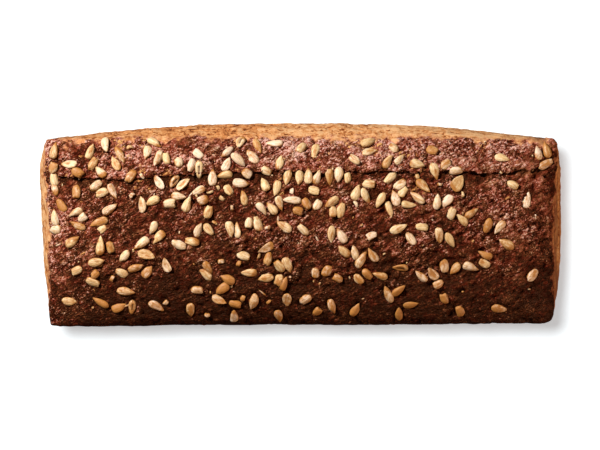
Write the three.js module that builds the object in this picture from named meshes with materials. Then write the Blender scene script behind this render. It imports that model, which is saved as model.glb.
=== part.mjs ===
// A rye tin loaf with sunflower kernels on its crust: one baked body, and kernels that each lie on it.
// Millimetres. +X runs along the loaf, +Y points to the long side where the crust has torn, +Z is up.
// The origin is the middle of the flat base, at the bottom centre of the bounding box.
import * as THREE from "three";

const { clamp, lerp, smoothstep } = THREE.MathUtils;

// The tin's inside, as half sizes: it flares from the base up to the rim, where walls and crust meet.
const BASE = { x: 137, y: 45.5 };
const RIM = { x: 139.5, y: 51.5, height: 60 };
const CORNER_RADIUS = { sharp: 3.5, soft: 7 }; // soft only where the right end meets the plain side
const BASE_RADIUS = 5;

// How far each wall swells past the tin's straight line, at the middle of its length.
const BULGE = { torn: 9.4, plain: 3.4, left: 6.4, right: 5.9 };
const BULGE_POWER = { side: 2.4, end: 3 }; // how squarely a swelling fills its wall from corner to corner
const END_LEAN = { left: 0.28, right: 0.05 }; // how far an end's swelling leans to the torn side
const BELLY_POWER = 1.5; // above 1 lifts the fullest part of the wall over half of its height

// The domed crust over the rim, with the long tear whose far side stands up as a lip.
const CROWN = 17;
const CROWN_SAG = 0.3; // the share of the crown that is lost towards the two ends
const DOME = { endPower: 14, sidePower: 2.2, endRound: 0.5, sideRound: 0.7 };
const TEAR = { y: 34, halfWidth: 0.5, lip: 1.3, dip: 0.5, dipReach: 6 };
const TEAR_FADE = 0.93; // the tear closes between this share of the half length and the end

// Where the tear leaves its straight line: places from -1 to 1 along the loaf, and how far it is off there.
const TEAR_TURNS = [
  [-1, -3.2], [-0.68, -4.4], [-0.48, -2.2], [-0.15, 0], [0.62, 0], [0.72, -1.7], [0.88, 1], [1, 2.6],
];

// The mesh over the loaf: lines across the length, lines on each side of the tear, and tiers up a wall.
const COLUMNS = 40;
const ROWS = { plain: 10, torn: 4 };
const TIERS = 8;
const ROUND_TIERS = 2; // how many of the tiers go to the rounded bottom edge
const COLUMN_DRAW = 0.6; // how far the columns draw together towards the two ends: 0 leaves them even
const ROW_POWER = 1.4; // how far the rows draw together towards the two long edges

// Hulled sunflower kernels, and the patches of crust that hold one each.
const KERNEL = { length: [8.4, 9.8], width: [4.5, 5.4], height: [2.9, 3.4], taper: 0.42 };
const KERNEL_FACETS = { around: 8, along: 5 };
const KERNEL_SUNK = 0.25; // the share of its half height that a kernel's flat underside cuts off
const REST_GAP = 0.3;
const PATCHES = { columns: 12, rows: 5, margin: 5.2 };
const BARE_PATCHES = ["1,10", "2,11", "4,11"]; // row,column, from the torn side and the left end
const SEED = 41;

// A repeatable source of numbers from 0 to 1.
function randomNumbers(seed) {
  let state = seed;
  return () => {
    state = (state + 0x6d2b79f5) | 0;
    let mixed = Math.imul(state ^ (state >>> 15), 1 | state);
    mixed = (mixed + Math.imul(mixed ^ (mixed >>> 7), 61 | mixed)) ^ mixed;
    return ((mixed ^ (mixed >>> 14)) >>> 0) / 2 ** 32;
  };
}

// Moves a point near a square plan corner on to the corner's arc.
function roundCorner(x, y, halfX, halfY) {
  const radius = x > 0 && y < 0 ? CORNER_RADIUS.soft : CORNER_RADIUS.sharp;
  const innerX = halfX - radius;
  const innerY = halfY - radius;
  const overX = Math.abs(x) - innerX;
  const overY = Math.abs(y) - innerY;
  if (overX <= 0 || overY <= 0) return [x, y];
  const pull = Math.max(overX, overY) / Math.hypot(overX, overY);
  return [Math.sign(x) * (innerX + overX * pull), Math.sign(y) * (innerY + overY * pull)];
}

// How much of the tear is open at u, from -1 at the left end to 1 at the right end.
const tearOpen = (u) => 1 - smoothstep(Math.abs(u), TEAR_FADE, 1);

// How far the tear is off its straight line at u, by a smooth step from each turn to the next.
function tearWander(u) {
  const next = Math.max(1, TEAR_TURNS.findIndex(([place]) => place >= u));
  const [[from, low], [to, high]] = TEAR_TURNS.slice(next - 1, next + 1);
  return lerp(low, high, smoothstep(u, from, to));
}

// The crust's height over the rim at u along the loaf and v across it, both from -1 to 1.
function crustRise(u, v) {
  const along = Math.pow(1 - Math.pow(Math.abs(u), DOME.endPower), DOME.endRound);
  const across = Math.pow(1 - Math.pow(Math.abs(v), DOME.sidePower), DOME.sideRound);
  const dome = CROWN * (1 - CROWN_SAG * u * u) * along * across;
  const past = v * RIM.y - TEAR.y;
  const step = past > 0
    ? TEAR.lip * (1 - past / (RIM.y - TEAR.y))
    : -TEAR.dip * Math.exp(past / TEAR.dipReach);
  return dome + step * tearOpen(u) * along * across;
}

// Even columns drawn together towards the two ends, where the crust rolls over.
const columnLine = (s) => lerp(s, Math.sin((s * Math.PI) / 2), COLUMN_DRAW);

// Rows closer together at the two long edges, with one row on each lip of the tear.
function rowLine(index) {
  const nearLip = (TEAR.y - TEAR.halfWidth) / RIM.y;
  const farLip = (TEAR.y + TEAR.halfWidth) / RIM.y;
  if (index <= ROWS.plain) return -1 + (1 + nearLip) * Math.pow(index / ROWS.plain, ROW_POWER);
  const left = 1 - (index - ROWS.plain - 1) / ROWS.torn;
  return 1 - (1 - farLip) * Math.pow(left, ROW_POWER);
}

// The height of a tier: the first ones climb the rounded bottom edge, and the others are even.
function tierHeight(index) {
  if (index <= ROUND_TIERS) return BASE_RADIUS * (index / ROUND_TIERS) ** 2;
  return lerp(BASE_RADIUS, RIM.height, (index - ROUND_TIERS) / (TIERS - ROUND_TIERS));
}

// The loaf's surface at one point of its grid: u and v across the plan, and a tier up the wall.
function loafPoint(u, v, tier) {
  const z = tierHeight(tier);
  const up = z / RIM.height;
  const belly = Math.sin(Math.PI * Math.pow(up, BELLY_POWER));
  const underRound = clamp(1 - z / BASE_RADIUS, 0, 1);
  const inset = BASE_RADIUS * (1 - Math.sqrt(1 - underRound * underRound));
  const halfX = lerp(BASE.x, RIM.x, up) - inset;
  const halfY = lerp(BASE.y, RIM.y, up) - inset;
  let [x, y] = roundCorner(u * halfX, v * halfY, halfX, halfY);
  const swellX = u < 0 ? BULGE.left : BULGE.right;
  const swellY = v < 0 ? BULGE.plain : BULGE.torn;
  const lean = (u < 0 ? END_LEAN.left : END_LEAN.right) * (1 - v * v);
  x += Math.sign(u) * swellX * belly * (1 - Math.pow(Math.abs(v - lean), BULGE_POWER.end));
  y += Math.sign(v) * swellY * belly * (1 - Math.pow(Math.abs(u), BULGE_POWER.side));
  if (tier < TIERS) return [x, y, z];
  const nearTear = 1 - smoothstep(Math.abs(v * RIM.y - TEAR.y), 0, RIM.y - TEAR.y);
  return [x, y + tearWander(u) * nearTear, z + crustRise(u, v)];
}

function loafGeometry() {
  const rows = ROWS.plain + 1 + ROWS.torn;
  const geometry = new THREE.BoxGeometry(2, 2, 2, COLUMNS, rows, TIERS);
  const points = geometry.getAttribute("position");
  for (let i = 0; i < points.count; i++) {
    const u = columnLine(points.getX(i));
    const v = rowLine(Math.round(((points.getY(i) + 1) / 2) * rows));
    const tier = Math.round(((points.getZ(i) + 1) / 2) * TIERS);
    points.setXYZ(i, ...loafPoint(u, v, tier));
  }
  geometry.computeVertexNormals();
  return geometry;
}

// A kernel along X, blunt at -X and drawn to a tip at +X, with its underside cut flat at z = 0.
function kernelGeometry(length, width, height) {
  const geometry = new THREE.SphereGeometry(1, KERNEL_FACETS.around, KERNEL_FACETS.along);
  geometry.rotateZ(-Math.PI / 2);
  const points = geometry.getAttribute("position");
  for (let i = 0; i < points.count; i++) {
    const along = points.getX(i);
    const slim = 1 - KERNEL.taper * Math.max(along, 0);
    const above = Math.max(points.getZ(i), -KERNEL_SUNK) + KERNEL_SUNK;
    points.setXYZ(
      i,
      (along * length) / 2,
      (points.getY(i) * slim * width) / 2,
      (above * slim * height) / 2,
    );
  }
  return geometry;
}

// Where the upright line over (x, y) meets the crust, and which way the crust faces there.
function crustUnder(loaf, x, y) {
  const above = new THREE.Vector3(x, y, 2 * RIM.height);
  const ray = new THREE.Raycaster(above, new THREE.Vector3(0, 0, -1));
  const [hit] = ray.intersectObject(loaf);
  return hit && { point: hit.point, normal: hit.face.normal };
}

// Lays a kernel on the crust at (x, y), lifted until its flat underside clears the crust by the gap.
function layKernel(kernel, loaf, x, y, heading, length, width) {
  const { point, normal } = crustUnder(loaf, x, y);
  const upright = new THREE.Quaternion().setFromUnitVectors(new THREE.Vector3(0, 0, 1), normal);
  const turned = new THREE.Quaternion().setFromAxisAngle(new THREE.Vector3(0, 0, 1), heading);
  kernel.quaternion.copy(upright).multiply(turned);
  let lift = 0;
  for (let i = 0; i < KERNEL_FACETS.around; i++) {
    const angle = (i * 2 * Math.PI) / KERNEL_FACETS.around;
    const offset = new THREE.Vector3((Math.cos(angle) * length) / 2, (Math.sin(angle) * width) / 2, 0);
    const edge = offset.applyQuaternion(kernel.quaternion).add(point);
    const under = crustUnder(loaf, edge.x, edge.y);
    if (under) lift = Math.max(lift, under.point.sub(edge).dot(normal));
  }
  kernel.position.copy(point).addScaledVector(normal, REST_GAP + lift);
}

// One kernel in each patch that isn't bare, far enough from the patch's edges to miss its neighbours.
function sowKernels(loaf, material) {
  const random = randomNumbers(SEED);
  const between = ([low, high]) => lerp(low, high, random());
  const patch = { x: (2 * RIM.x) / PATCHES.columns, y: (2 * RIM.y) / PATCHES.rows };
  const kernels = [];
  for (let row = 0; row < PATCHES.rows; row++) {
    for (let column = 0; column < PATCHES.columns; column++) {
      const [length, width, height] = [KERNEL.length, KERNEL.width, KERNEL.height].map(between);
      const x = -RIM.x + column * patch.x + between([PATCHES.margin, patch.x - PATCHES.margin]);
      const y = RIM.y - row * patch.y - between([PATCHES.margin, patch.y - PATCHES.margin]);
      const heading = between([0, 2 * Math.PI]);
      if (BARE_PATCHES.includes(`${row},${column}`)) continue;
      const kernel = new THREE.Mesh(kernelGeometry(length, width, height), material);
      kernel.name = `sunflower_kernel_${String(kernels.length + 1).padStart(2, "0")}`;
      layKernel(kernel, loaf, x, y, heading, length, width);
      kernels.push(kernel);
    }
  }
  return kernels;
}

const crustMaterial = new THREE.MeshStandardMaterial({ color: 0x6e3f2a, roughness: 0.75, metalness: 0 });
const kernelMaterial = new THREE.MeshStandardMaterial({ color: 0xd9b47c, roughness: 0.55, metalness: 0 });

const loaf = new THREE.Mesh(loafGeometry(), crustMaterial);
loaf.name = "loaf";

const tinLoaf = new THREE.Group();
tinLoaf.add(loaf, ...sowKernels(loaf, kernelMaterial));

// The unequal bulges put the bounding box off centre, so the whole loaf moves to centre it on the origin.
const middle = new THREE.Box3().setFromObject(tinLoaf, true).getCenter(new THREE.Vector3());
tinLoaf.position.set(-middle.x, -middle.y, 0);

export default tinLoaf;
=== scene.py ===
"""The looks of a rye tin loaf with sunflower kernels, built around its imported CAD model.

Shapes are worked out in millimetres and turned into metres when a mesh is made. +X runs along the loaf,
+Y points to the long side where the crust has torn, and +Z is up.
"""

import math
import random

import bpy
import numpy as np
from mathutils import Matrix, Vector, noise
from mathutils.bvhtree import BVHTree


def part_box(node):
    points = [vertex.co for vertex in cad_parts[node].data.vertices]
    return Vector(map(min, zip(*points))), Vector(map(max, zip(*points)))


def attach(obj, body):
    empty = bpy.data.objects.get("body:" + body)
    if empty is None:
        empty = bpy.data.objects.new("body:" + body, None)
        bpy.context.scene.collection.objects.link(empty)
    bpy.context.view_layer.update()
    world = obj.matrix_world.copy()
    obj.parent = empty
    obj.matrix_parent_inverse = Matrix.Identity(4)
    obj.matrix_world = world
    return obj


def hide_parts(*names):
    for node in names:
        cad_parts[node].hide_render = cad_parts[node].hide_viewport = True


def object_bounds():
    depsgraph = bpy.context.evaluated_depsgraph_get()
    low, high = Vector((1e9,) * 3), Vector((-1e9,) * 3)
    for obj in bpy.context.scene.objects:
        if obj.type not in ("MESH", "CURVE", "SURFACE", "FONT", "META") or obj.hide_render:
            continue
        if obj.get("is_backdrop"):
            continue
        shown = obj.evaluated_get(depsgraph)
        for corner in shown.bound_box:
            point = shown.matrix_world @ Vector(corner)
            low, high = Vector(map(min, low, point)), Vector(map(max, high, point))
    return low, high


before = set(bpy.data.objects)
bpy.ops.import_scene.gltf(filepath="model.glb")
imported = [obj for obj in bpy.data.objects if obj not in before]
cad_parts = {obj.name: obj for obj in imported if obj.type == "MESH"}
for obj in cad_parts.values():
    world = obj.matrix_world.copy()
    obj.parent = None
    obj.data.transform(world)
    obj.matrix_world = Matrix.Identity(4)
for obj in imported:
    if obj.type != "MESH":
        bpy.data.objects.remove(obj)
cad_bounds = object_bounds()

MM = 0.001
SEED = 12

# The loaf's plain form, as in the CAD model: half sizes at the base and at the rim, bulges and crown.
BASE_HALF = (137.0, 45.5)
RIM_HALF = (139.5, 51.5)
RIM_HEIGHT = 60.0
CORNER_RADIUS = {"sharp": 2.4, "soft": 7.0}  # soft only where the right end meets the plain side
BASE_RADIUS = 5.0
BULGE = {"torn": 9.4, "plain": 3.4, "left": 6.4, "right": 5.9}
BULGE_POWER = {"side": 2.4, "end": 3.0}
END_LEAN = {"left": 0.28, "right": 0.05}  # how far an end's bulge leans to the torn side
BELLY_POWER = 1.5
CROWN = 17.0
CROWN_SAG = 0.3
DOME = {"end_power": 14, "side_power": 2.2, "end_round": 0.5, "side_round": 0.7}

# The tear, in mm: its line across the crust, how far its far side stands up, and the dip in front of it.
TEAR_Y = 34.0
TEAR_LIP = 1.6
TEAR_DIP = 1.2
TEAR_DIP_REACH = 4.0
TEAR_RAGGED = 2.4  # how far from the tear its raggedness is felt
# Where it leaves that line: places from -1 to 1 along the loaf, and how far it is off there.
TEAR_TURNS = [
    (-1, -3.2), (-0.68, -4.4), (-0.48, -2.2), (-0.15, 0), (0.62, 0), (0.72, -1.7), (0.88, 1), (1, 2.6),
]

# Spots of crust drawn paler or, below 0, darker than the rest: place, reach, and by how much.
UNEVEN_SPOTS = [
    ((-127, 43), 14, -0.15), ((-97, 43), 12, 0.05), ((-48, 43), 17, -0.14), ((70, 43), 14, -0.06),
    ((114, 40), 14, -0.05), ((-97, 28), 10, 0.08), ((-97, 9), 11, -0.23), ((-98, -10), 10, 0.1),
    ((-50, 0), 34, -0.07), ((41, -10), 16, -0.07), ((112, 16), 28, 0.08), ((112, -28), 28, 0.07),
]

# The rounded edge between walls and crust: how far from the rim it reaches, and how often it is eased.
RIM_SOFTNESS = 5.0
RIM_PASSES = 14

# The mesh: lines along and across the crust, tiers up the walls, and extra rows beside the tear.
COLUMNS = 384
ROWS = 148
ROUND_TIERS = 6
WALL_TIERS = 58
TEAR_STEPS = [-1.8, -1.1, -0.6, -0.3, -0.1, 0.1, 0.3, 0.6, 1.1, 1.8]
BASE_STEP = 4  # the base has one line for so many of the crust's
# The square map, in mm, that the loaf's faces are laid out on: its side, where the crust's and the base's
# middles lie, the base's scale, and how high the walls start and how far apart their columns are.
MAP = {"side": 450, "crust": [150, 70], "base": [270, 170], "base_scale": 0.3, "walls": 160, "wall_step": 0.8}

END_SPAN = (124, 136)  # how far from the middle the look of the ends begins, and is full
# Painted shade and light: the crust's colour darkens in the hollows of its relief and pales on its ridges.
RELIEF_SPAN = 3.4  # the relief, in mm, that takes the crust from its darkest to its palest

# How many kernels lie in each patch of crust. Each line is a row of patches from the left end, and the torn
# side's row is the first.
SOWN = [
    [4, 6, 6, 3, 9, 4, 3, 4, 5, 4, 1, 0],
    [4, 5, 5, 10, 5, 11, 6, 5, 8, 6, 0, 2],
    [6, 2, 3, 5, 4, 2, 4, 0, 3, 3, 4, 0],
    [1, 8, 3, 2, 5, 5, 3, 6, 2, 3, 3, 0],
    [2, 4, 2, 3, 5, 4, 3, 2, 3, 3, 1, 0],
]
# How much each kind counts among the sown kernels, and among those that stand for a CAD kernel.
SOWN_KINDS = {"whole": 54, "broken": 33, "half": 3, "slit": 2, "bit": 8}
CAD_KINDS = {"whole": 72, "broken": 24, "slit": 4}
# How close to the rim a sown kernel's middle comes: at the ends, the torn side and the plain side.
EDGE_MARGIN, TORN_MARGIN, PLAIN_MARGIN = 4.0, 1.8, 8.0
KERNEL_LENGTH = (8.3, 10.8)
KERNEL_WIDTH = (4.2, 5.4)
KERNEL_HEIGHT = (2.9, 3.8)
KERNEL_RINGS = 15
KERNEL_SIDES = 16
KERNEL_CLEARANCE = 3.5
TIGHT_CLEARANCE = 2.8  # for the kernels whose places are given
FAR_APART = 16  # kernels this far apart can't touch
CLUSTERING = 0.7  # the share of kernels that fell next to another
CLUSTER_GAP = (4.0, 7.0)
SOWING_TRIES = 80
PRESS_DEPTH = 0.8  # how far the crust gave way under a kernel
PRESS_MARGIN, PRESS_REACH = 0.7, 9  # how far round it, and from its middle, the crust did at the most
SUNK = (0.2, 0.42)  # the share of a kernel's height that is in the crust
STEEPEST = 1.2  # the steepest slope that a kernel follows
# Kernels that lie in a line: first place, last place, heading in degrees, and how many there are.
LINES = [((-135.5, 42.0), (-134.5, 6.0), 90, 6), ((-12.5, 28.0), (25.5, 28.6), 80, 8)]
# Other kernels that stand out: place, heading in degrees, and kind.
LANDMARKS = [((85.6, 24.7), 60, "hull"), ((134.5, 42.5), 105, "whole"), ((134.5, 35.0), 30, "broken")]
# Kernels on the very edge of the plain side, the same way.
EDGE_KERNELS = [((-60.5, -48.6), 170, "whole"), ((-52.0, -47.8), 80, "bit"), ((-41.5, -48.9), 4, "whole"),
                ((-35.0, -47.4), 65, "broken"), ((54.0, -47.2), 92, "whole")]
CRUMBS = 46
CHAFF = 12
# The lengths, widths and heights of what isn't a whole kernel.
SMALL_PIECES = {
    "bit": ((3.0, 5.2), (2.8, 4.2), (2.2, 3.0)),
    "crumb": ((1.2, 2.6), (1.0, 2.0), (0.8, 1.5)),
    "chaff": ((3.5, 6.0), (0.8, 1.4), (0.6, 0.9)),
    "hull": ((9.6, 10.4), (6.8, 7.4), (3.0, 3.4)),
}

ROOT = "root"
ABOVE = 120  # a height, in mm, over everything
rng = random.Random(SEED)
noise.seed_set(SEED)  # or the noise vectors would differ from run to run


# ---------------------------------------------------------------- numbers and noise

def smooth(value, low, high):
    """0 below low, 1 above high, and a smooth climb between them."""
    t = np.clip((value - low) / (high - low), 0, 1)
    return t * t * (3 - 2 * t)


def read_noise(points, size, layer, reader):
    """What reader says of the noise at each point. A feature is about size mm, and each layer differs."""
    shift = Vector((0.0, 0.0, 41.3 * layer))
    return np.array([reader(Vector(p) + shift) for p in (points / size).tolist()])


def waves(points, size, layer, octaves=1):
    """Smooth noise from about -1 to 1."""
    if octaves == 1:
        return read_noise(points, size, layer, noise.noise)
    return read_noise(points, size, layer, lambda p: noise.fractal(p, 1.0, 2.0, octaves))


def grains(points, size, layer):
    """Distance to the nearest grain's middle, in grain sizes, and how far inside its grain a point is."""
    found = read_noise(points, size, layer, lambda p: noise.voronoi(p)[0][:2])
    return found[:, 0], found[:, 1] - found[:, 0]


# ---------------------------------------------------------------- the loaf's plain form

def tear_path():
    """Places along the loaf, and the tear there: its offset, its raggedness and its lip's share."""
    places = np.linspace(-1.05, 1.05, 1401)
    offset = np.interp(places, *zip(*TEAR_TURNS))
    window = np.hanning(61)
    offset = np.convolve(np.pad(offset, 30, "edge"), window / window.sum(), "valid")
    spots = np.stack([places * RIM_HALF[0], 0 * places, 0 * places], -1)
    ragged = 0.7 * waves(spots, 8, 31, 2) + 0.4 * waves(spots, 2.6, 32, 2)
    lip = np.clip(1 + 0.9 * waves(spots, 18, 33, 2), 0.35, 1.6)
    return places, offset, ragged, lip


def plan_point(u, v, z):
    """x and y of the plan's point (u, v), each from -1 to 1, at height z up the walls."""
    up = z / RIM_HEIGHT
    belly = np.sin(np.pi * up ** BELLY_POWER)
    under = np.clip(1 - z / BASE_RADIUS, 0, 1)
    inset = BASE_RADIUS * (1 - np.sqrt(1 - under ** 2))
    half = [low + (high - low) * up - inset for low, high in zip(BASE_HALF, RIM_HALF)]
    radius = np.where((u > 0) & (v < 0), CORNER_RADIUS["soft"], CORNER_RADIUS["sharp"])
    x, y = u * half[0], v * half[1]
    inner_x, inner_y = half[0] - radius, half[1] - radius
    over_x, over_y = np.abs(x) - inner_x, np.abs(y) - inner_y
    corner = (over_x > 0) & (over_y > 0)
    pull = np.where(corner, np.maximum(over_x, over_y) / np.maximum(np.hypot(over_x, over_y), 1e-9), 1)
    x = np.where(corner, np.sign(x) * (inner_x + over_x * pull), x)
    y = np.where(corner, np.sign(y) * (inner_y + over_y * pull), y)
    swell_x = np.where(u < 0, BULGE["left"], BULGE["right"])
    swell_y = np.where(v < 0, BULGE["plain"], BULGE["torn"])
    lean = np.where(u < 0, END_LEAN["left"], END_LEAN["right"])
    x = x + np.sign(u) * swell_x * belly * (1 - np.abs(v - lean * (1 - v * v)) ** BULGE_POWER["end"])
    y = y + np.sign(v) * swell_y * belly * (1 - np.abs(u) ** BULGE_POWER["side"])
    return x, y


def crust_rise(u, past, v):
    """The crust's height over the rim, with the tear's lip and the dip in front of it."""
    along = (1 - np.abs(u) ** DOME["end_power"]) ** DOME["end_round"]
    across = (1 - np.abs(v) ** DOME["side_power"]) ** DOME["side_round"]
    dome = CROWN * (1 - CROWN_SAG * u * u) * along * across
    beyond = smooth(past, -0.2, 0.2)
    share = np.interp(u, TEAR[0], TEAR[3])
    lip = TEAR_LIP * (1 - past / (RIM_HALF[1] - TEAR_Y)) * beyond
    dip = TEAR_DIP * np.exp(np.minimum(past, 0) / TEAR_DIP_REACH) * (1 - beyond)
    return dome + (lip - dip) * share * along * across * (1 - 0.6 * smooth(np.abs(u), 0.9, 1.0))


def crust_point(u, v):
    x, y = plan_point(u, v, np.full_like(u, RIM_HEIGHT))
    past = v * RIM_HALF[1] - TEAR_Y
    wander = np.interp(u, TEAR[0], TEAR[1]) * (1 - smooth(np.abs(past), 0, RIM_HALF[1] - TEAR_Y))
    wander += np.interp(u, TEAR[0], TEAR[2]) * (1 - smooth(np.abs(past), 0.6, TEAR_RAGGED))
    return np.stack([x, y + wander, RIM_HEIGHT + crust_rise(u, past, v)], -1)


def past_tear(points):
    """How far beyond the tear each point of the crust is, in mm."""
    u = points[:, 0] / RIM_HALF[0]
    return points[:, 1] - TEAR_Y - np.interp(u, TEAR[0], TEAR[1]) - np.interp(u, TEAR[0], TEAR[2])


def even_steps(path, count):
    """count + 1 values from -1 to 1 that cut the path they trace into even lengths."""
    fine = np.linspace(-1, 1, 6001)
    length = np.concatenate([[0], np.cumsum(np.linalg.norm(np.diff(path(fine), axis=0), axis=1))])
    return np.interp(np.linspace(0, length[-1], count + 1), length, fine)


def grid_lines():
    """The u of each column and the v of each row, with rows close together along the tear."""
    us = even_steps(lambda u: crust_point(u, np.zeros_like(u)), COLUMNS)
    vs = even_steps(lambda v: crust_point(np.zeros_like(v), v), ROWS - len(TEAR_STEPS))
    beside = (TEAR_Y + np.array(TEAR_STEPS)) / RIM_HALF[1]
    return us, np.sort(np.concatenate([vs, beside]))


def tier_heights():
    """Heights up the walls, from the base round its edge to just under the rim."""
    turn = np.linspace(0, np.pi / 2, ROUND_TIERS + 1)[:-1]
    rounded = BASE_RADIUS * (1 - np.cos(turn))
    return np.concatenate([rounded, np.linspace(BASE_RADIUS, RIM_HEIGHT, WALL_TIERS + 1)[:-1]])


def rectangle_ring(columns, rows):
    """Column and row numbers round the edge of a grid, counter-clockwise from its first corner."""
    ring = [(i, 0) for i in range(columns)] + [(columns, j) for j in range(rows)]
    ring += [(i, rows) for i in range(columns, 0, -1)] + [(0, j) for j in range(rows, 0, -1)]
    return np.array(ring)


def quads(ids):
    """Faces between neighbours in a grid of vertex numbers."""
    return np.stack([ids[:-1, :-1], ids[:-1, 1:], ids[1:, 1:], ids[1:, :-1]], -1).reshape(-1, 4)


def stitch(fine, coarse):
    """Triangles between a closed line of vertices and one with half as many, which is on its right."""
    a, b, c = fine[0::2], fine[1::2], np.roll(fine, -1)[1::2]
    p, q = coarse, np.roll(coarse, -1)
    return np.concatenate([np.stack(t, -1) for t in ((a, p, b), (b, p, q), (b, q, c))])


class Skin:
    """The loaf's points and faces, and a flat map of them for the bake of its colours."""

    def __init__(self):
        self.points = np.zeros((0, 3))
        self.faces = []
        self.map = []

    def add_points(self, points):
        """Adds points, and returns their numbers, laid out as the points are."""
        first = len(self.points)
        self.points = np.concatenate([self.points, points.reshape(-1, 3)])
        return np.arange(first, len(self.points)).reshape(points.shape[:-1])

    def add_faces(self, faces, flat):
        """flat holds every point's place on the map, in mm, as these faces see it."""
        self.faces += faces.tolist()
        self.map.append(flat[faces.reshape(-1)])


def loaf_skin():
    """The plain form as one closed skin: crust, walls and base, each with its own part of the map."""
    skin = Skin()
    us, vs = grid_lines()
    u, v = np.meshgrid(us, vs, indexing="ij")
    crust = skin.add_points(crust_point(u, v))
    edge = rectangle_ring(COLUMNS, ROWS)
    ring = edge[0::2]
    heights = tier_heights()[1:]
    x, y = plan_point(us[ring[:, 0]][:, None], vs[ring[:, 1]][:, None], heights[None, :])
    walls = skin.add_points(np.stack([x, y, np.broadcast_to(heights, x.shape)], -1))
    u, v = np.meshgrid(us[::BASE_STEP], vs[::BASE_STEP], indexing="ij")
    x, y = plan_point(u, v, np.zeros_like(u))
    base = skin.add_points(np.stack([x, y, np.zeros_like(x)], -1))

    flat = skin.points[:, :2] + MAP["crust"]
    skin.add_faces(quads(crust)[:, ::-1], flat)
    base_flat = skin.points[:, :2] * MAP["base_scale"] + MAP["base"]
    skin.add_faces(quads(base), base_flat)
    low = base[tuple(rectangle_ring(COLUMNS // BASE_STEP, ROWS // BASE_STEP).T)]
    around = np.arange(len(ring)) * MAP["wall_step"]
    wall_flat = np.zeros_like(flat)
    wall_flat[walls] = np.stack(np.broadcast_arrays(around[:, None], MAP["walls"] + heights[None, :]), -1)
    closed = np.concatenate([walls, walls[:1]])
    skin.add_faces(quads(closed.T), wall_flat)
    skin.add_faces(stitch(crust[tuple(edge.T)], walls[:, -1]), flat)
    skin.add_faces(stitch(walls[:, 0], low), wall_flat)
    return skin


def soften_rim(points, faces):
    """Rounds off the meeting of walls and crust, by pulling each point near it towards its neighbours."""
    edges = np.array([pair for face in faces for pair in zip(face, face[1:] + face[:1])])
    edges = np.unique(np.sort(edges, axis=1), axis=0)
    ends, others = np.concatenate([edges, edges[:, ::-1]]).T
    count = np.bincount(ends, minlength=len(points))[:, None]
    pull = (1 - smooth(np.abs(points[:, 2] - RIM_HEIGHT), RIM_SOFTNESS / 3, RIM_SOFTNESS))[:, None]
    for _ in range(RIM_PASSES):
        total = np.stack([np.bincount(ends, points[others, axis], len(points)) for axis in range(3)], -1)
        points = points + pull * (total / count - points)
    return points


def new_object(name, points, faces, material, **attributes):
    """A smooth mesh from points in mm, with an attribute for each named array of values."""
    mesh = bpy.data.meshes.new(name)
    mesh.from_pydata((points * MM).tolist(), [], faces)
    mesh.polygons.foreach_set("use_smooth", [True] * len(mesh.polygons))
    for label, values in attributes.items():
        flat = values.ndim == 1
        layer = mesh.attributes.new(label, "FLOAT" if flat else "FLOAT_VECTOR", "POINT")
        numbers = np.ascontiguousarray(values, np.float32).ravel()
        layer.data.foreach_set("value" if flat else "vector", numbers)
    mesh.materials.append(material)
    made = bpy.data.objects.new(name, mesh)
    bpy.context.scene.collection.objects.link(made)
    return made


def point_normals(points, faces):
    mesh = bpy.data.meshes.new("scratch")
    mesh.from_pydata(points.tolist(), [], faces)
    normals = np.zeros(len(points) * 3)
    mesh.vertex_normals.foreach_get("vector", normals)
    bpy.data.meshes.remove(mesh)
    return normals.reshape(-1, 3)


# ---------------------------------------------------------------- the crust's and the walls' relief

def turned(points, degrees, stretch):
    """Points seen in a plan turned by some degrees, drawn together along it by stretch."""
    angle = math.radians(degrees)
    along = points[:, 0] * math.cos(angle) + points[:, 1] * math.sin(angle)
    across = points[:, 1] * math.cos(angle) - points[:, 0] * math.sin(angle)
    return np.stack([along / stretch, across, points[:, 2]], -1)


def crust_relief(points):
    """How far the baked crust stands out from the plain form, in mm."""
    uneven = 1 - smooth(-points[:, 1], 16, 42)  # the plain long side baked smoother
    swell = 0.7 * waves(points, 26, 1, 2)
    # Long folds with sharp valleys, which only some parts of the crust have.
    fold = waves(turned(points, 28, 3.2), 3.6, 2, 2)
    folds = 1.1 * fold - 0.8 * smooth(np.abs(fold), 0.2, 0.0)
    folding = smooth(waves(points, 45, 3) + points[:, 0] / 300, -0.4, 0.25)
    # Lumps and grains, coarser in some parts than in others, and pits.
    lumps = waves(turned(points, 35, 1.6), 4.0, 4, 3)
    near, inside = grains(turned(points, 35, 1.5), 1.9, 5)
    grain = 0.95 * (0.5 - near) + 0.2 * smooth(inside, 0.0, 0.25)
    coarse = 0.55 + 0.9 * smooth(waves(points, 11, 7, 2), -0.3, 0.35)
    pits = -0.9 * smooth(waves(points, 6.5, 6, 2), 0.36, 0.62)
    crumb = lumps + grain * coarse
    return swell + folds * folding * (0.4 + 0.6 * uneven) + crumb * (0.38 + 0.62 * uneven) + pits


def wall_relief(points):
    """How far the skin that baked against the tin stands out, in mm: pores, wrinkles and level cracks."""
    swell = 0.4 * waves(points, 26, 11, 2)
    near, _ = grains(points, 3.4, 12)
    pores = -0.9 * smooth(near, 0.3, 0.1) * smooth(waves(points, 12, 13), 0.0, 0.3)
    level = points * [0.3, 0.3, 1]
    wrinkles = 0.5 * waves(level, 3.2, 17, 2)
    cracks = -1.1 * smooth(np.abs(waves(level, 3.4, 14, 2)), 0.09, 0.0)
    cracks *= smooth(waves(points, 13, 15), 0.0, 0.3)
    return swell + pores + wrinkles + cracks + 0.4 * waves(points, 3.2, 16, 2)


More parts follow.
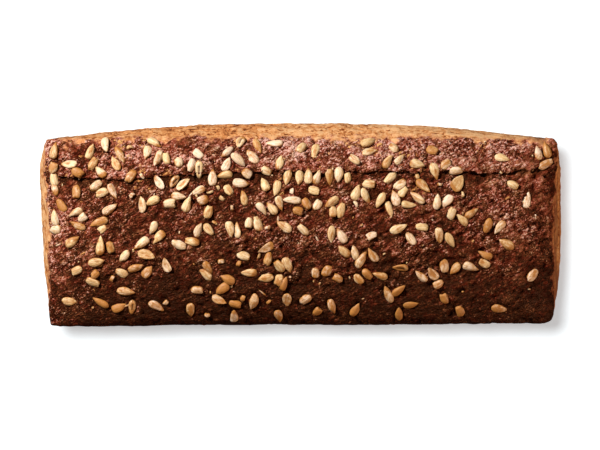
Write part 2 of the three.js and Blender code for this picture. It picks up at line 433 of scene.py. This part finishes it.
def crust_shade(points):
    """How much paler or, below 0, darker than the rest each point of the crust is drawn, partly as painted
    shadow and shade.
    """
    past = past_tear(points)
    u = points[:, 0] / RIM_HALF[0]
    y, z = points[:, 1], points[:, 2]
    depth = np.interp(u, TEAR[0], TEAR[3]) * (1 - smooth(np.abs(u), 0.93, 1.0))
    flap = 0.16 * smooth(past, -1, 2) + 0.12 * smooth(past, 5, 15)
    flap += 0.12 * smooth(past, 2, 7) * (1 - smooth(np.abs(u - 0.1), 0.15, 0.5))
    # Painted shadow: the crust in front of the tear is drawn darker, as if shaded by the lip, and more so
    # where shadowed is high.
    lip_shadow = -0.2 * smooth(past, -6, -0.4) * (1 - smooth(past, -0.3, 0.1)) * depth
    shadowed = smooth(u, -0.62, -0.45) * (1 - smooth(u, 0.0, 0.15))
    lip_shadow *= 1 + 1.2 * shadowed
    # Painted shade: the crust near the torn side's rim is drawn darker, where the key light falls on it most
    # directly.
    far_rim_shade = -0.04 * (1 - smooth(z, RIM_HEIGHT + 2, RIM_HEIGHT + 11)) * smooth(y, 15, 40)
    # Darker towards the plain side: partly a darker bake, partly painted shade of that side turning away from
    # the key light.
    plain_side_shade = -0.07 - 0.38 * smooth(-y, -8, 46)
    ends = 0.22 * smooth(-u, 0.78, 0.98) * (1 - 0.6 * smooth(y, 8, 28)) - 0.04 * smooth(u, 0.8, 1.0)
    spots = sum(amount * np.exp(-((points[:, :2] - place) ** 2).sum(1) / reach ** 2)
                for place, reach, amount in UNEVEN_SPOTS)
    return flap + lip_shadow + plain_side_shade + ends + far_rim_shade + spots


def wall_shade(points):
    """How much paler or, below 0, darker than the rest each point of the walls is drawn: painted light on the
    ends and on the torn side's wall towards the right, and painted shade on the plain side.
    """
    x, y = points[:, 0], points[:, 1]
    right = smooth(x, *END_SPAN)
    far_side_light = 0.21 * smooth(x, -80, 80) * smooth(y, 10, 40) * (1 - right)
    ends = 0.19 * smooth(-x, 120, 136) + 0.06 * right
    return far_side_light + ends - 0.055 * smooth(-y, 10, 45)


# ---------------------------------------------------------------- kernels: where they are sown

class Kernel:
    """A kernel as it lies: its middle, the way its tip points, its size in mm, and its kind."""

    def __init__(self, x, y, heading, length, width, height, kind="whole"):
        self.x, self.y, self.heading, self.kind = x, y, heading, kind
        self.length, self.width, self.height = length, width, height

    def spots(self):
        """Three places along the kernel, for keeping others clear."""
        reach = self.length * 0.3
        return [(self.x + k * reach * math.cos(self.heading), self.y + k * reach * math.sin(self.heading))
                for k in (-1, 0, 1)]


def read_kernel(node):
    """The kernel that a CAD node stands for: its place, the way its tip points, and its size."""
    points = np.unique(np.array([v.co for v in node.data.vertices]).round(7), axis=0) / MM
    middle = (points.min(0) + points.max(0)) / 2
    axes = np.linalg.svd(points - points.mean(0))[2]
    local = (points - middle) @ axes.T
    ahead = local[:, 0] > 0
    if np.abs(local[ahead, 1]).max() > np.abs(local[local[:, 0] < 0, 1]).max():
        axes[0] = -axes[0]
    length, width, height = np.ptp(local, axis=0)
    height *= 1.15  # the CAD kernel has no sunk part
    return Kernel(middle[0], middle[1], math.atan2(axes[0][1], axes[0][0]), length, width, height)


def is_clear(kernel, others, clearance):
    mine = kernel.spots()
    for other in others:
        if max(abs(other.x - kernel.x), abs(other.y - kernel.y)) > FAR_APART:
            continue
        if any(math.dist(a, b) < clearance for a in mine for b in other.spots()):
            return False
    return True


def random_kind(kinds):
    return rng.choices(list(kinds), list(kinds.values()))[0]


def random_kernel(x, y, heading=None, kind=None):
    kind = kind or random_kind(SOWN_KINDS)
    heading = rng.uniform(-math.pi, math.pi) if heading is None else heading
    size = [rng.uniform(*span) for span in (KERNEL_LENGTH, KERNEL_WIDTH, KERNEL_HEIGHT)]
    if kind in SMALL_PIECES:
        size = [rng.uniform(*span) for span in SMALL_PIECES[kind]]
    return Kernel(x, y, heading, *size, kind)


def sow_line(first, last, heading, count):
    """Kernels side by side along a line, each turned a little from the heading."""
    for k in range(count):
        share = (k + rng.uniform(-0.15, 0.15)) / (count - 1)
        x, y = (a + (b - a) * share for a, b in zip(first, last))
        tip = math.radians(heading + rng.gauss(0, 13)) + rng.choice([0, math.pi])
        yield random_kernel(x, y + rng.uniform(-0.8, 0.8), tip, rng.choice(["whole", "whole", "broken"]))


def sow_patch(left, far, width, depth, count, lying):
    """Up to count kernels in one patch of crust, clear of those that lie there."""
    sown = []
    for _ in range(count):
        for _ in range(SOWING_TRIES):
            x, y = left + rng.uniform(0, width), far - rng.uniform(0, depth)
            if rng.random() < CLUSTERING:
                friend = min(lying, key=lambda k: math.hypot(k.x - x, k.y - y))
                angle, apart = rng.uniform(-math.pi, math.pi), rng.uniform(*CLUSTER_GAP)
                x, y = friend.x + apart * math.cos(angle), friend.y + apart * math.sin(angle)
            kernel = random_kernel(x, y)
            inside = left <= x < left + width and far - depth <= y < far
            if inside and is_clear(kernel, lying, KERNEL_CLEARANCE):
                sown.append(kernel)
                lying.append(kernel)
                break
    return sown


def given_kernels(table):
    return [random_kernel(*place, math.radians(turn), kind) for place, turn, kind in table]


def sow(cad_kernels, low, high):
    """Rows of kernels: with those of the CAD model, enough in each patch of crust to make up its number."""
    special = [kernel for line in LINES for kernel in sow_line(*line)] + given_kernels(LANDMARKS)
    special = [kernel for kernel in special if is_clear(kernel, cad_kernels, TIGHT_CLEARANCE)]
    lying = cad_kernels + special
    width, depth = (high[0] - low[0]) / len(SOWN[0]), (high[1] - low[1]) / len(SOWN)
    rows = []
    for j, counts in enumerate(SOWN):
        far = high[1] - j * depth
        row = [kernel for kernel in special if far - depth <= kernel.y < far]
        for i, count in enumerate(counts):
            left = low[0] + i * width
            held = sum(left <= k.x < left + width and far - depth <= k.y < far for k in lying)
            row += sow_patch(left, far, width, depth, count - held, lying)
        rows.append(row)
    for kind, count in (("crumb", CRUMBS), ("chaff", CHAFF)):
        for _ in range(count):
            x, y = rng.uniform(low[0], high[0]), rng.uniform(low[1], high[1])
            rows[min(int((high[1] - y) / depth), len(rows) - 1)].append(random_kernel(x, y, kind=kind))
    rows[-1] += [kernel for kernel in given_kernels(EDGE_KERNELS) if is_clear(kernel, lying, TIGHT_CLEARANCE)]
    return rows


# ---------------------------------------------------------------- kernels: their shape

def kernel_faces():
    ring = np.arange(KERNEL_SIDES)
    ahead = (ring + 1) % KERNEL_SIDES
    faces = [(0, 1 + b, 1 + a) for a, b in zip(ring, ahead)]
    for k in range(KERNEL_RINGS - 3):
        first = 1 + k * KERNEL_SIDES
        faces += [(first + a, first + b, first + KERNEL_SIDES + b, first + KERNEL_SIDES + a)
                  for a, b in zip(ring, ahead)]
    last = 1 + (KERNEL_RINGS - 3) * KERNEL_SIDES
    tip = last + KERNEL_SIDES
    return faces + [(last + a, last + b, tip) for a, b in zip(ring, ahead)]


def kernel_outline(along, start, end):
    """A kernel's half width at places along it, cut across at start and at end."""
    fullest, blunt = rng.uniform(-0.4, -0.1), rng.uniform(2.2, 3.4)
    t = np.clip(along, start, end)
    behind = np.clip((fullest - t) / (1 + fullest), 0, 1)
    ahead = np.clip((t - fullest) / (1 - fullest), 0, 1)
    pointed = (1 - ahead ** rng.uniform(1.6, 2.1)) ** 0.9
    radius = np.where(t < fullest, (1 - behind ** blunt) ** 0.5, pointed)
    capped = np.where(along > end, (1 - along) / (1 - end + 1e-9), 1)
    return t, radius, np.where(along < start, (1 + along) / (1 + start + 1e-9), capped)


def kernel_form(kind):
    """Points of one kernel, from -1 to 1 each way: blunt at -X, drawn to a tip at +X."""
    rough = {"bit": 0.2, "broken": 0.15, "crumb": 0.28}.get(kind, 0.09)
    end = {"broken": rng.uniform(0.15, 0.7), "bit": 0.35, "crumb": 0.3}.get(kind, 1.0)
    t, radius, capped = kernel_outline(
        -np.cos(np.linspace(0, np.pi, KERNEL_RINGS)), -0.45 if kind in ("bit", "crumb") else -1.0, end)
    turn = np.arange(KERNEL_SIDES) * 2 * np.pi / KERNEL_SIDES
    y = np.outer(radius * capped, np.cos(turn))
    section = np.sign(np.sin(turn)) * np.abs(np.sin(turn)) ** rng.uniform(0.85, 1.2)
    z = np.outer(radius ** 0.85 * capped, section)
    points = np.stack([np.repeat(t[:, None], KERNEL_SIDES, 1), y, z], -1)[1:-1].reshape(-1, 3)
    points = np.concatenate([[[t[0], 0, 0]], points, [[t[-1], 0, 0]]])
    top = points[:, 2] > 0
    if kind in ("half", "hull"):
        hollow = 0.2 * smooth(np.hypot(points[:, 0] * 0.8, points[:, 1]), 0.7, 0.3)
        points[:, 2] = np.where(top, 0.25 * points[:, 2] - hollow, points[:, 2])
    if kind == "slit":
        slit = np.exp(-(points[:, 1] / 0.2) ** 2) * smooth(np.abs(points[:, 0] + 0.1), 0.62, 0.3)
        points[:, 2] -= 0.7 * slit * top
    local = points.copy()
    for _ in range(3):
        spot = np.array([rng.uniform(-0.7, 0.7), rng.uniform(-0.9, 0.9), rng.uniform(0, 1)])
        near = np.exp(-((points - spot) ** 2).sum(1) / rng.uniform(0.08, 0.25))
        points = points - spot * near[:, None] * rng.uniform(0.02, 0.22)
    shift = Vector((rng.uniform(0, 90), 0, 0))
    points = points + rough * np.array([noise.noise_vector(Vector(p) * 1.4 + shift) for p in points.tolist()])
    bend, arch = rng.uniform(-0.18, 0.18), rng.uniform(-0.05, 0.14)
    points[:, 1] += bend * (1 - local[:, 0] ** 2)
    points[:, 2] += arch * (1 - local[:, 0] ** 2)
    return points, local


def tipped(axis, other, angle):
    """Two axes at right angles, turned by an angle in their plane."""
    return axis * math.cos(angle) - other * math.sin(angle), other * math.cos(angle) + axis * math.sin(angle)


def lay_kernel(kernel, crust):
    """A kernel's points as it lies on the crust, partly sunk in it, with what its material reads."""
    form, local = kernel_form(kernel.kind)
    ahead = Vector((math.cos(kernel.heading), math.sin(kernel.heading), 0))
    beside = Vector((-ahead.y, ahead.x, 0))
    samples = []
    for along in (-0.35 * kernel.length, 0, 0.35 * kernel.length):
        for across in (-0.3 * kernel.width, 0, 0.3 * kernel.width):
            spot = Vector((kernel.x, kernel.y, ABOVE)) + ahead * along + beside * across
            hit = crust.ray_cast(spot, Vector((0, 0, -1)))[0]
            if hit:
                samples.append((1, along, across, hit.z))
    table = np.array(samples)
    level, climb, tilt = np.linalg.lstsq(table[:, :3], table[:, 3], rcond=None)[0]
    climb, tilt = np.clip([climb, tilt], -STEEPEST, STEEPEST)
    x_axis = (ahead + Vector((0, 0, climb))).normalized()
    z_axis = x_axis.cross(beside + Vector((0, 0, tilt))).normalized()
    y_axis = z_axis.cross(x_axis)
    roll, pitch = rng.gauss(0, 0.16), rng.gauss(0, 0.07)
    z_axis, y_axis = tipped(z_axis, y_axis, roll)
    z_axis, x_axis = tipped(z_axis, x_axis, pitch)
    scale = np.array([kernel.length, kernel.width, kernel.height]) / 2
    sunk = rng.uniform(*SUNK) * {"hull": 0, "half": 0.4}.get(kernel.kind, 1)
    origin = Vector((kernel.x, kernel.y, level)) + z_axis * (kernel.height * (0.5 - sunk))
    points = (form * scale) @ np.array([x_axis, y_axis, z_axis]) + np.array(origin)
    browner = 0.28 + rng.choice([0, 0, 0, 0.35])  # browner towards the plain side
    toast = toast_and_underside_shade(kernel, local) + 0.04 + browner * smooth(-kernel.y, -5, 40)
    grain = local * scale + [rng.uniform(0, 500), 0, 0]
    # Painted shadow in the slit of a split kernel.
    slit_shadow = (np.abs(local[:, 1]) < 0.2) & (local[:, 2] < 0.35) & (local[:, 2] > -0.4) & (kernel.kind == "slit")
    return points, dict(toast=toast, grain=grain, tone=np.full(len(points), rng.random()), slit_shadow=slit_shadow * 1.0)


def toast_and_underside_shade(kernel, local):
    """How toasted each point of a kernel is, most pale on top and browner at one end, with painted shade that
    makes them browner below.
    """
    pale, tan, brown = rng.uniform(0, 0.12), rng.uniform(0.2, 0.35), rng.uniform(0.4, 0.6)
    overall = rng.choices([pale, tan, brown], [80, 13, 7])[0]
    if kernel.kind in ("half", "hull"):
        overall = -0.2
    end = rng.choice([-1, 1, 1]) * local[:, 0]
    side = rng.choice([-1, 1]) * local[:, 1]
    strength = rng.choices([0.0, rng.uniform(0.25, 0.6), rng.uniform(0.6, 0.9)], [35, 45, 20])[0]
    # Painted shade: the lower sides of a kernel are drawn browner, as if shaded.
    under = 0.8 * smooth(-local[:, 2], -0.5, 0.4)
    inner = rng.choice([0, 0, 0.5]) * np.exp(-((local[:, 0] / 0.5) ** 2 + (local[:, 1] / 0.45) ** 2))
    return np.clip(overall + under + inner + strength * smooth(end + 0.3 * side, 0.1, 1.1), -0.3, 1.2)


def join_kernels(name, kernels, crust, material):
    """One piece of several kernels."""
    faces = kernel_faces()
    points, joined, values = [], [], {}
    for kernel in kernels:
        first = sum(len(p) for p in points)
        place, reads = lay_kernel(kernel, crust)
        points.append(place)
        joined += [tuple(first + n for n in face) for face in faces]
        for label, value in reads.items():
            values.setdefault(label, []).append(value)
    values = {label: np.concatenate(parts) for label, parts in values.items()}
    return new_object(name, np.concatenate(points), joined, material, **values)


# ---------------------------------------------------------------- materials

class Nodes:
    """A material's node tree, written as calls: each returns the new node's first output."""

    def __init__(self, name):
        self.material = bpy.data.materials.new(name)
        self.material.use_nodes = True
        self.tree = self.material.node_tree
        self.shader = self.tree.nodes["Principled BSDF"]

    def link(self, value, socket):
        if isinstance(value, bpy.types.NodeSocket):
            self.tree.links.new(value, socket)
        else:
            socket.default_value = value

    def add(self, kind, inputs=None, output=0, **settings):
        made = self.tree.nodes.new("ShaderNode" + kind)
        for key, value in settings.items():
            setattr(made, key, value)
        for key, value in (inputs or {}).items():
            self.link(value, made.inputs[key])
        return made.outputs[output]

    def read(self, label, output="Fac"):
        return self.add("Attribute", attribute_name=label, output=output)

    def place(self):
        return self.add("TexCoord", output="Object")

    def noise(self, place, size, detail=3.0, roughness=0.6):
        """Noise with features of about size mm."""
        inputs = {"Vector": place, "Scale": 1 / (size * MM), "Detail": detail, "Roughness": roughness}
        return self.add("TexNoise", inputs)

    def warped(self, place, size, reach):
        """The place pushed about by up to reach mm, so that what is drawn there has no regular outlines."""
        push = self.add("TexNoise", {"Vector": place, "Scale": 1 / (size * MM), "Detail": 2.0}, output=1)
        return self.add("VectorMath", {0: push, 1: (reach * MM,) * 3, 2: place}, operation="MULTIPLY_ADD")

    def sum(self, total, *terms):
        """A starting number, plus the sum of (value, weight) pairs."""
        for value, weight in terms:
            total = self.add("Math", {0: value, 1: weight, 2: total}, operation="MULTIPLY_ADD")
        return total

    def ramp(self, value, *stops):
        made = self.tree.nodes.new("ShaderNodeValToRGB")
        self.link(value, made.inputs[0])
        elements = made.color_ramp.elements
        for index, (place, colour) in enumerate(stops):
            stop = elements[index] if index < 2 else elements.new(place)
            stop.position = place
            stop.color = (*colour, 1)
        return made.outputs[0]

    def rise(self, value, low, high):
        """0 below low, 1 above high, and a straight climb between them."""
        return self.ramp(value, (low, (0, 0, 0)), (high, (1, 1, 1)))

    def mix(self, factor, a, b):
        made = self.tree.nodes.new("ShaderNodeMix")
        made.data_type = "RGBA"
        for socket, value in ((0, factor), (6, a), (7, b)):
            self.link(value if not isinstance(value, tuple) else (*value, 1), made.inputs[socket])
        return made.outputs[2]

    def bump(self, height, depth, strength=1.0):
        """A bump of depth mm."""
        return self.add("Bump", {"Height": height, "Distance": depth * MM, "Strength": strength})


def crust_material():
    """Dark granular crust over the golden skin of the walls."""
    n = Nodes("rye_crust")
    place = n.place()
    relief, shade = n.read("relief"), n.read("shade")

    # Grains of the crust, drawn out along its folds.
    rippled = n.add("Mapping", {"Vector": place, "Rotation": (0, 0, math.radians(33)), "Scale": (2.0, 1, 1)},
                    vector_type="TEXTURE")
    fine, mealy, patch = n.noise(place, 0.9, 2.0), n.noise(rippled, 2.2), n.noise(place, 12, 3.0)
    cell = n.add("TexVoronoi", {"Vector": n.warped(rippled, 1.5, 2.0), "Scale": 1 / (1.15 * MM)})
    grit = n.add("SeparateColor", {"Color": cell.node.outputs["Color"]})
    # Painted glints: pale specks in the crust's colour stand in for highlights on its grains.
    glint = n.rise(n.noise(place, 0.7, 1.0), 0.58, 0.68)
    grain = n.sum(-0.555, (fine, 1.15), (grit, 0.4), (cell, -0.6), (glint, 0.36))
    coarseness = n.sum(-0.55, (n.noise(place, 13, 2.0), 3.2), (shade, 0.4), (n.read("calm"), -0.42))
    # The relief paints the hollows darker and the ridges paler, as painted shade and light.
    level = n.sum(-0.66, (relief, 0.45), (mealy, 1.0), (patch, 0.9), (shade, 0.85), (grain, coarseness))

    # The crust: browner and ruddier parts, with flecks of bran.
    brown = n.ramp(
        level,
        (0.17, (0.022, 0.0052, 0.0014)),
        (0.36, (0.058, 0.0145, 0.0042)),
        (0.51, (0.122, 0.036, 0.0105)),
        (0.66, (0.232, 0.081, 0.031)),
        (0.85, (0.42, 0.205, 0.11)),
        (1.0, (0.62, 0.39, 0.25)),
    )
    ruddy = n.ramp(
        level,
        (0.17, (0.032, 0.0022, 0.0003)),
        (0.36, (0.080, 0.0082, 0.0022)),
        (0.51, (0.162, 0.0265, 0.0105)),
        (0.66, (0.285, 0.071, 0.039)),
        (0.85, (0.47, 0.19, 0.13)),
        (1.0, (0.66, 0.38, 0.30)),
    )
    broad, small = n.noise(place, 7, 2.0), n.noise(place, 2.6, 3.0, 0.7)
    # Where shade is low the crust is also drawn less ruddy, which gives the painted shade towards the plain
    # side a duller tone.
    hue = n.sum(-0.85, (broad, 1.0), (small, 1.4), (grit, 0.4), (shade, 0.6))
    bran = n.ramp(level, (0.2, (0.13, 0.040, 0.009)), (0.5, (0.36, 0.130, 0.034)), (0.85, (0.62, 0.31, 0.11)))
    flecks = n.sum(-0.76, (grit, 1.0), (n.noise(place, 18, 2.0), 1.2), (shade, 0.3))
    crust = n.mix(n.rise(hue, 0.25, 0.75), brown, ruddy)
    crust = n.mix(n.rise(flecks, 0.92, 0.97), crust, bran)

    # The walls: level streaks and dashes, mottling and fine cracks, and toasted parts.
    upright = n.add("VectorMath", {0: n.warped(place, 4, 3), 1: (1.0, 1.0, 0.35)}, operation="MULTIPLY")
    levelled = n.add("VectorMath", {0: n.warped(place, 3, 1.5), 1: (0.25, 0.25, 1.0)}, operation="MULTIPLY")
    mottle, strata = n.noise(upright, 2.2), n.noise(levelled, 2.4, 4.0, 0.7)
    crack = n.noise(n.warped(place, 3, 3), 9, 2.0)
    crack = n.ramp(crack, (0.47, (0, 0, 0)), (0.49, (1, 1, 1)), (0.51, (0, 0, 0)))
    dashes = n.rise(n.noise(levelled, 1.3, 1.0), 0.62, 0.68)
    # The relief paints the walls' pores and cracks darker and their wrinkles paler, as painted shade and
    # light.
    wall_level = n.sum(
        -1.04, (relief, 0.5), (fine, 0.3), (patch, 0.6), (mottle, 1.1), (strata, 0.9),
        (crack, -0.38), (dashes, -0.35), (shade, 1.0))
    wall = n.ramp(
        wall_level,
        (0.32, (0.12, 0.030, 0.008)),
        (0.50, (0.35, 0.115, 0.034)),
        (0.68, (0.50, 0.210, 0.072)),
        (0.94, (0.64, 0.36, 0.170)),
    )
    toasted = n.mix(fine, (0.10, 0.035, 0.014), (0.25, 0.095, 0.042))
    wall = n.mix(n.sum(-0.98, (n.read("toast"), 1.1), (mottle, 0.6), (strata, 1.25)), wall, toasted)

    # Where the two meet: a ragged edge, with the wall's side of it baked darker.
    ragged = n.sum(-0.35, (n.read("crust"), 0.8), (mealy, 0.8), (fine, 0.5))
    ember = n.ramp(level, (0.2, (0.16, 0.04, 0.014)), (0.45, (0.32, 0.10, 0.04)), (0.75, (0.58, 0.26, 0.12)))
    wall = n.mix(n.rise(ragged, 0.45, 0.85), wall, ember)
    share = n.rise(ragged, 0.85, 1.0)

    n.link(n.mix(share, wall, crust), n.shader.inputs["Base Color"])
    n.link(n.sum(0.24, (fine, 0.35), (grit, 0.2)), n.shader.inputs["Roughness"])
    n.shader.inputs["Specular IOR Level"].default_value = 0.12
    n.shader.inputs["Specular Tint"].default_value = (1, 0.5, 0.3, 1)
    height = n.sum(0.0, (fine, n.sum(0.3, (share, 0.7))), (cell, n.sum(0.0, (share, -0.8))))
    n.link(n.bump(height, 1.15), n.shader.inputs["Normal"])
    return n.material


def kernel_material():
    """Hulled sunflower kernels: cream, streaked along their length, toasted brown in places, and browner
    below and dark in their slits as painted shade.
    """
    n = Nodes("sunflower_kernel")
    own = n.read("grain", "Vector")
    along = n.add("VectorMath", {0: own, 1: (0.22, 1.0, 1.0)}, operation="MULTIPLY")
    streak = n.add("TexNoise", {"Vector": along, "Scale": 1.3, "Detail": 4.0})
    blotch = n.add("TexNoise", {"Vector": own, "Scale": 0.5, "Detail": 4.0})
    speck = n.add("TexNoise", {"Vector": own, "Scale": 2.2, "Detail": 2.0})
    cream = n.ramp(
        n.sum(-0.5, (n.read("tone"), 0.5), (streak, 1.3), (speck, 0.3)),
        (0.25, (0.70, 0.507, 0.36)),
        (0.6, (0.64, 0.443, 0.225)),
        (0.95, (0.55, 0.32, 0.12)),
    )
    # toast includes the painted shade on the kernels' undersides.
    toast = n.sum(-0.75, (n.read("toast"), 1.0), (blotch, 1.1), (streak, 0.8), (speck, 0.4))
    browned = n.mix(blotch, (0.50, 0.21, 0.045), (0.27, 0.095, 0.018))
    colour = n.mix(n.rise(toast, 0.5, 1.35), cream, browned)
    # Painted shadow: the slit of a split kernel is drawn dark brown.
    colour = n.mix(n.read("slit_shadow"), colour, (0.09, 0.03, 0.012))
    n.link(colour, n.shader.inputs["Base Color"])
    n.link(n.sum(0.3, (streak, 0.35)), n.shader.inputs["Roughness"])
    n.shader.inputs["Specular IOR Level"].default_value = 0.35
    n.link(n.bump(n.sum(0.0, (streak, 1.0), (speck, 0.6)), 0.4, 0.8), n.shader.inputs["Normal"])
    return n.material


# ---------------------------------------------------------------- building the loaf

def frame_move(points):
    """How far the plain form moves to lie where the CAD loaf is, by the middles of their boxes."""
    low, high = (np.array(corner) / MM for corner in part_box("loaf"))
    move = (low + high) / 2 - (points.min(0) + points.max(0)) / 2
    move[2] = 0
    return move


def press(points, kernels):
    """How far the kernels, when they were pressed in, pushed the crust down under and around them."""
    sunk = np.zeros(len(points))
    for k in kernels:
        offset = points[:, :2] - (k.x, k.y)
        near = np.flatnonzero((np.abs(offset).max(1) < PRESS_REACH) & (points[:, 2] > RIM_HEIGHT))
        dx, dy = offset[near].T
        along = (dx * math.cos(k.heading) + dy * math.sin(k.heading)) / (k.length / 2 + PRESS_MARGIN)
        across = (dy * math.cos(k.heading) - dx * math.sin(k.heading)) / (k.width / 2 + PRESS_MARGIN)
        depth = PRESS_DEPTH * smooth(np.hypot(along, across), 1.2, 0.6)
        sunk[near] = np.maximum(sunk[near], depth)
    return sunk


def corner_push(points):
    """How far the uneven filling of the tin pushed the corners out, past the plain form."""
    x, y = points[:, 0], points[:, 1]
    push = np.zeros_like(points)
    push[:, 0] = smooth(y, 12, 42) * (1.2 * smooth(x, 105, 137) - 1.8 * smooth(-x, 105, 137))
    push[:, 1] = -1.4 * smooth(-x, 40, 110) * smooth(-y, 12, 42)
    return push * smooth(points[:, 2], 5, 45)[:, None]


def build_loaf(skin, move, kernels, material):
    """The loaf's fine surface, and its points in mm."""
    points = soften_rim(skin.points, skin.faces)
    normals = point_normals(points, skin.faces)
    x, y, z = points.T
    right, left, near = smooth(x, *END_SPAN), smooth(-x, *END_SPAN), smooth(-y, 24, 46)
    streaks = right * waves(points * [1, 0.12, 0.5], 2.6, 23, 2)
    ragged = 4.5 * waves(points, 8, 21, 3) + 3.6 * waves(points, 2.8, 22, 2) + 4 * streaks
    start = RIM_HEIGHT - 4.5 + 3 * right * smooth(-y, -25, 5) - 8 * near  # where the crust's colour starts
    start += 2 * left * (1 - 2 * smooth(y, 0, 40)) + 0.8 * smooth(np.abs(x), 105, 136) * smooth(y, 20, 45)
    scorch = right * (0.25 + 0.3 * smooth(z, 35, 58) + 0.6 * smooth(-y, 0, 42)) + 1.15 * streaks
    crust = smooth(z + ragged - start, 0, 7)
    hold = smooth(z, 0.0, 3.0)  # keeps the base flat
    edge = 0.6 + 0.4 * smooth(z, RIM_HEIGHT, RIM_HEIGHT + 5)  # the crust's relief is weaker at the rim
    relief = crust * crust_relief(points) * edge + (1 - crust) * wall_relief(points) * hold
    corner = smooth(np.abs(x) / RIM_HALF[0] + np.abs(y) / RIM_HALF[1], 1.82, 2.0)
    bottom = 1 - smooth(z, 2.0, 12.0)
    looks = {
        "crust": crust,
        # shade holds the painted shadow and shade of crust_shade, and the painted light and shade of
        # wall_shade.
        "shade": crust * crust_shade(points) + (1 - crust) * wall_shade(points),
        # relief also sets the colour: painted shade in the hollows, painted light on the ridges.
        "relief": np.clip(0.5 + relief / RELIEF_SPAN, 0, 1),
        "calm": smooth(x, 108, 130),
        "toast": np.clip(0.75 * corner + 0.8 * bottom + scorch, 0, 1),
    }
    points = points + move + corner_push(points)
    points = points + normals * (relief - press(points, kernels) * crust)[:, None]
    points[:, 2] = np.maximum(points[:, 2], 0)
    loaf = new_object("rye_loaf", points, skin.faces, material, **looks)
    uv = loaf.data.uv_layers.new(name="OFBake")
    uv.data.foreach_set("uv", (np.concatenate(skin.map) / MAP["side"]).astype(np.float32).ravel())
    return loaf, points


TEAR = tear_path()
crust_look, kernel_look = crust_material(), kernel_material()
kernel_nodes = {name: node for name, node in sorted(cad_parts.items()) if name != "loaf"}
cad_kernels = {name: read_kernel(node) for name, node in kernel_nodes.items()}

skin = loaf_skin()
move = frame_move(skin.points)
low, high = (move[:2] + side * (np.array(RIM_HALF) - EDGE_MARGIN) for side in (-1, 1))
low[1], high[1] = move[1] - RIM_HALF[1] + PLAIN_MARGIN, move[1] + RIM_HALF[1] - TORN_MARGIN
sown_rows = sow(list(cad_kernels.values()), low, high)
everything = list(cad_kernels.values()) + [kernel for row in sown_rows for kernel in row]
loaf, loaf_points = build_loaf(skin, move, everything, crust_look)
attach(loaf, ROOT)
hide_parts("loaf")
crust_tree = BVHTree.FromPolygons(loaf_points.tolist(), skin.faces)

pieces = [loaf]
for name, kernel in cad_kernels.items():
    kernel.kind = random_kind(CAD_KINDS)
    piece = join_kernels(name.replace("sunflower_", "baked_"), [kernel], crust_tree, kernel_look)
    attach(piece, ROOT)
    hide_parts(name)
    pieces.append(piece)
for number, row in enumerate(sown_rows, 1):
    piece = join_kernels(f"sown_kernels_row_{number}", row, crust_tree, kernel_look)
    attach(piece, ROOT)
    pieces.append(piece)


# ---------------------------------------------------------------- floor, lights and camera

def plain_material(name, colour, roughness, glow):
    n = Nodes(name)
    n.shader.inputs["Base Color"].default_value = (*colour, 1)
    n.shader.inputs["Roughness"].default_value = roughness
    n.shader.inputs["Emission Color"].default_value = (1, 1, 1, 1)
    n.shader.inputs["Emission Strength"].default_value = glow
    return n.material


def area_light(name, receivers, place, size, watts, colour=(1, 1, 1), towards=(0, 0, 0.05)):
    """A round light that falls only on its receivers."""
    data = bpy.data.lights.new(name, "AREA")
    data.energy, data.size, data.shape, data.color = watts, size, "DISK", colour
    light = bpy.data.objects.new(name, data)
    light.location = place
    light.rotation_euler = (Vector(towards) - Vector(place)).to_track_quat("-Z", "Y").to_euler()
    bpy.context.scene.collection.objects.link(light)
    group = bpy.data.collections.new(name + "_receivers")
    for obj in receivers:
        group.objects.link(obj)
    light.light_linking.receiver_collection = group


FLOOR_REACH = 4.0
corners = [(x * FLOOR_REACH, y * FLOOR_REACH, 0) for x, y in ((-1, -1), (1, -1), (1, 1), (-1, 1))]
floor_look = plain_material("floor_white", colour=(0.80, 0.87, 0.90), roughness=0.9, glow=0.5)
floor = new_object("floor", np.array(corners) / MM, [(0, 1, 2, 3)], floor_look)
floor.visible_diffuse = floor.visible_glossy = False
floor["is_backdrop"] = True

area_light("key_light", pieces, place=(-0.78, 0.78, 0.92), size=0.18, watts=39)
area_light("fill_light", pieces, place=(0.5, -0.6, 1.5), size=1.6, watts=4, colour=(1, 0.8, 0.64))
area_light("side_light", pieces, place=(1.3, -0.5, 0.3), size=0.8, watts=15, colour=(1, 0.72, 0.5))
area_light("floor_light", [floor], place=(-0.21, 0.32, 1.7), size=0.3, watts=26, towards=(0, 0, 0))

world = bpy.data.worlds.new("studio")
world.use_nodes = True
background = world.node_tree.nodes["Background"]
background.inputs["Color"].default_value = (1, 0.95, 0.9, 1)
background.inputs["Strength"].default_value = 0.03
bpy.context.scene.world = world
bpy.context.scene.view_settings.view_transform = "Standard"

# The camera looks down, leaning to the torn side.
LEAN = math.radians(5)
CAMERA_DISTANCE = 1.5
CAMERA_LENS = 161.6
CAMERA_AIM = Vector((-0.0006, -0.0005, 0.045))
camera_data = bpy.data.cameras.new("camera")
camera_data.lens = CAMERA_LENS
camera = bpy.data.objects.new("camera", camera_data)
camera.location = CAMERA_AIM + CAMERA_DISTANCE * Vector((0, math.sin(LEAN), math.cos(LEAN)))
camera.rotation_euler = (-LEAN, 0, 0)
bpy.context.scene.collection.objects.link(camera)
bpy.context.scene.camera = camera

sizes = {"cad": cad_bounds, "visual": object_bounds()}
{name: [list(corner) for corner in bounds] for name, bounds in sizes.items()}
